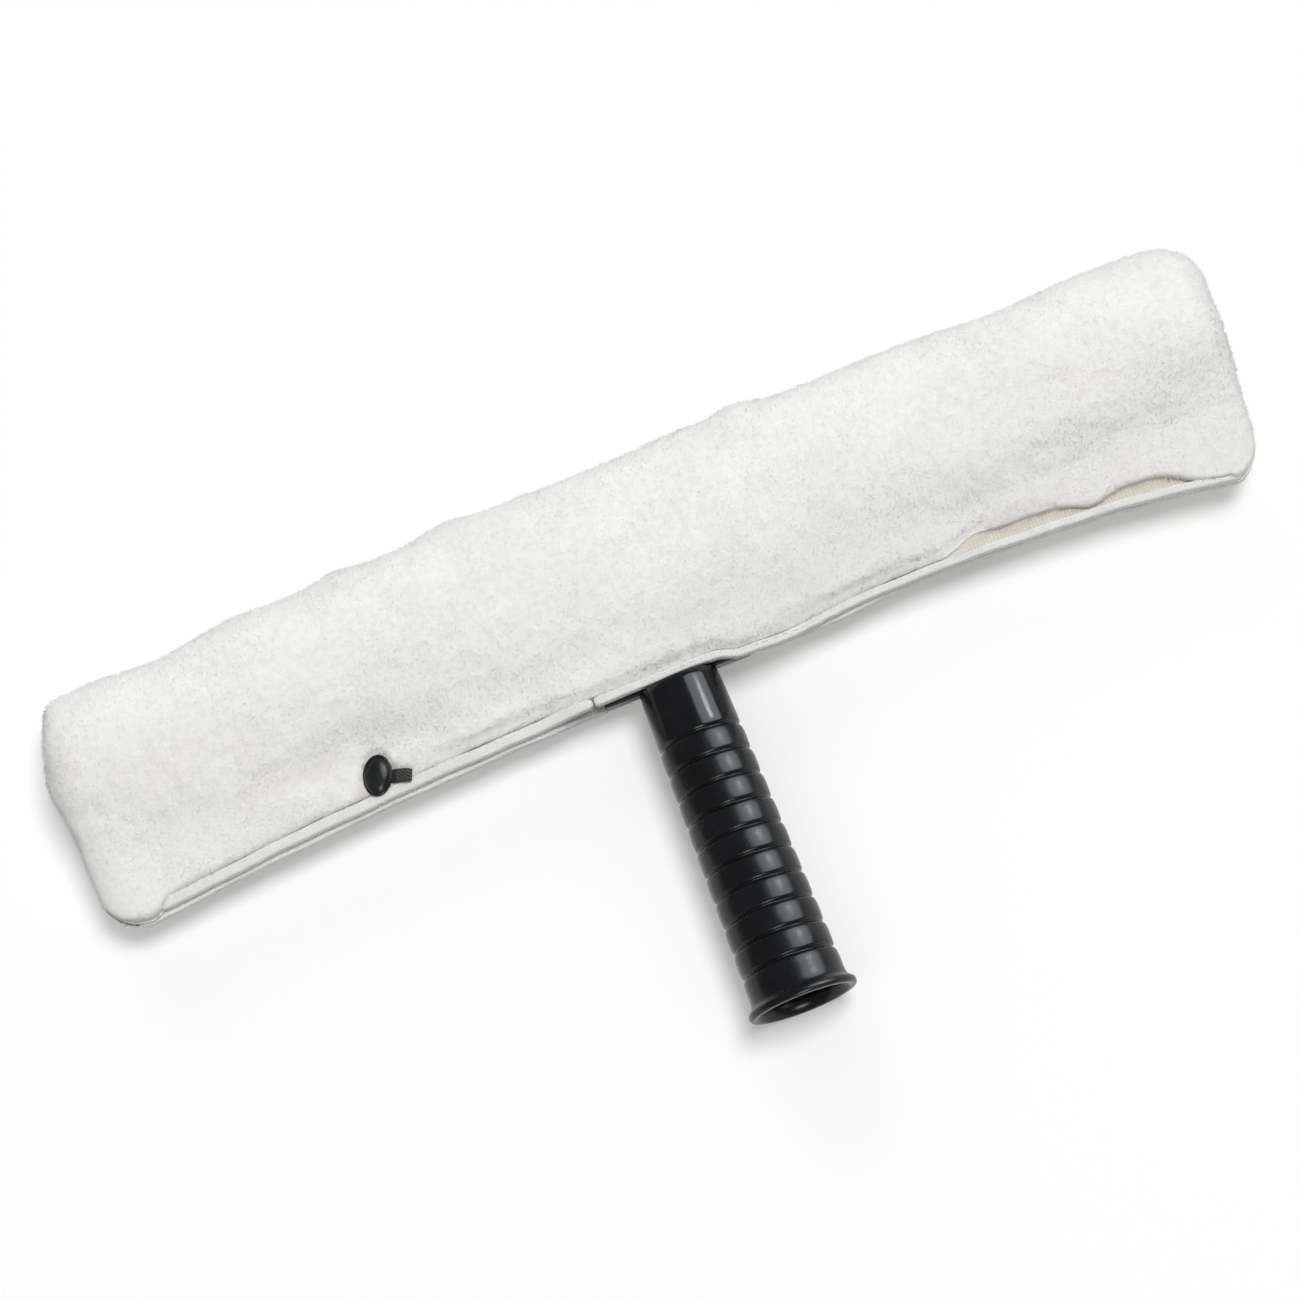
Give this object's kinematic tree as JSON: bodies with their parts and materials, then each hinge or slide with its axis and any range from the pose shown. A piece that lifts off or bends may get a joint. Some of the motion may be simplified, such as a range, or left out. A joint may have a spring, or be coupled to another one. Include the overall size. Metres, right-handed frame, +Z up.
{
  "type": "window strip washer",
  "caption": "Window strip washer: white fleece sleeve with press-stud flaps over a moulded T-bar with a hollow ribbed handle for a pole.",
  "frame": {"origin": "middle of the underside of the washer's whole box, as it lies on its back panel and handle lip", "axes": "+X along the head to the right, handle towards -Y, +Z up out of the front panel; the handle's axis runs along Y at x = -3 mm, z = 16.9 mm"},
  "size_m": [0.376, 0.1772, 0.0343],
  "materials": {
    "black_plastic": "glossy moulded",
    "stud_plastic": "glossy moulded",
    "fleece": "short fleece pile on a cream knit",
    "hem_tape": "woven binding tape",
    "tab_webbing": "woven webbing",
    "steel": "satin"
  },
  "bodies": {
    "washer": {"crossbar": "black_plastic", "handle": "black_plastic", "handle_screw": "steel", "screw_washer": "steel", "sleeve_front": "fleece", "sleeve_back": "fleece", "sleeve_front_hem": "hem_tape", "sleeve_back_hem": "hem_tape", "front_stud_knob": "stud_plastic", "front_stud_post": "stud_plastic", "back_stud_knob": "stud_plastic", "back_stud_post": "stud_plastic"},
    "front_closure": {"front_flap": "fleece", "front_flap_hem": "hem_tape", "front_stud_cap": "stud_plastic", "front_stud_socket": "stud_plastic", "front_pull_tab": "tab_webbing"},
    "back_closure": {"back_flap": "fleece", "back_flap_hem": "hem_tape", "back_stud_cap": "stud_plastic", "back_stud_socket": "stud_plastic", "back_pull_tab": "tab_webbing"}
  },
  "joints": [
    {"name": "front_flap_fold", "type": "hinge", "parent": "washer", "child": "front_closure", "pos_m": [-0.103, 0.0346, 0.02551], "axis": [-1, 0, 0], "range_deg": [0, 60]},
    {"name": "back_flap_fold", "type": "hinge", "parent": "washer", "child": "back_closure", "pos_m": [0.1, 0.0346, 0.00829], "axis": [1, 0, 0], "range_deg": [0, 60]}
  ]
}
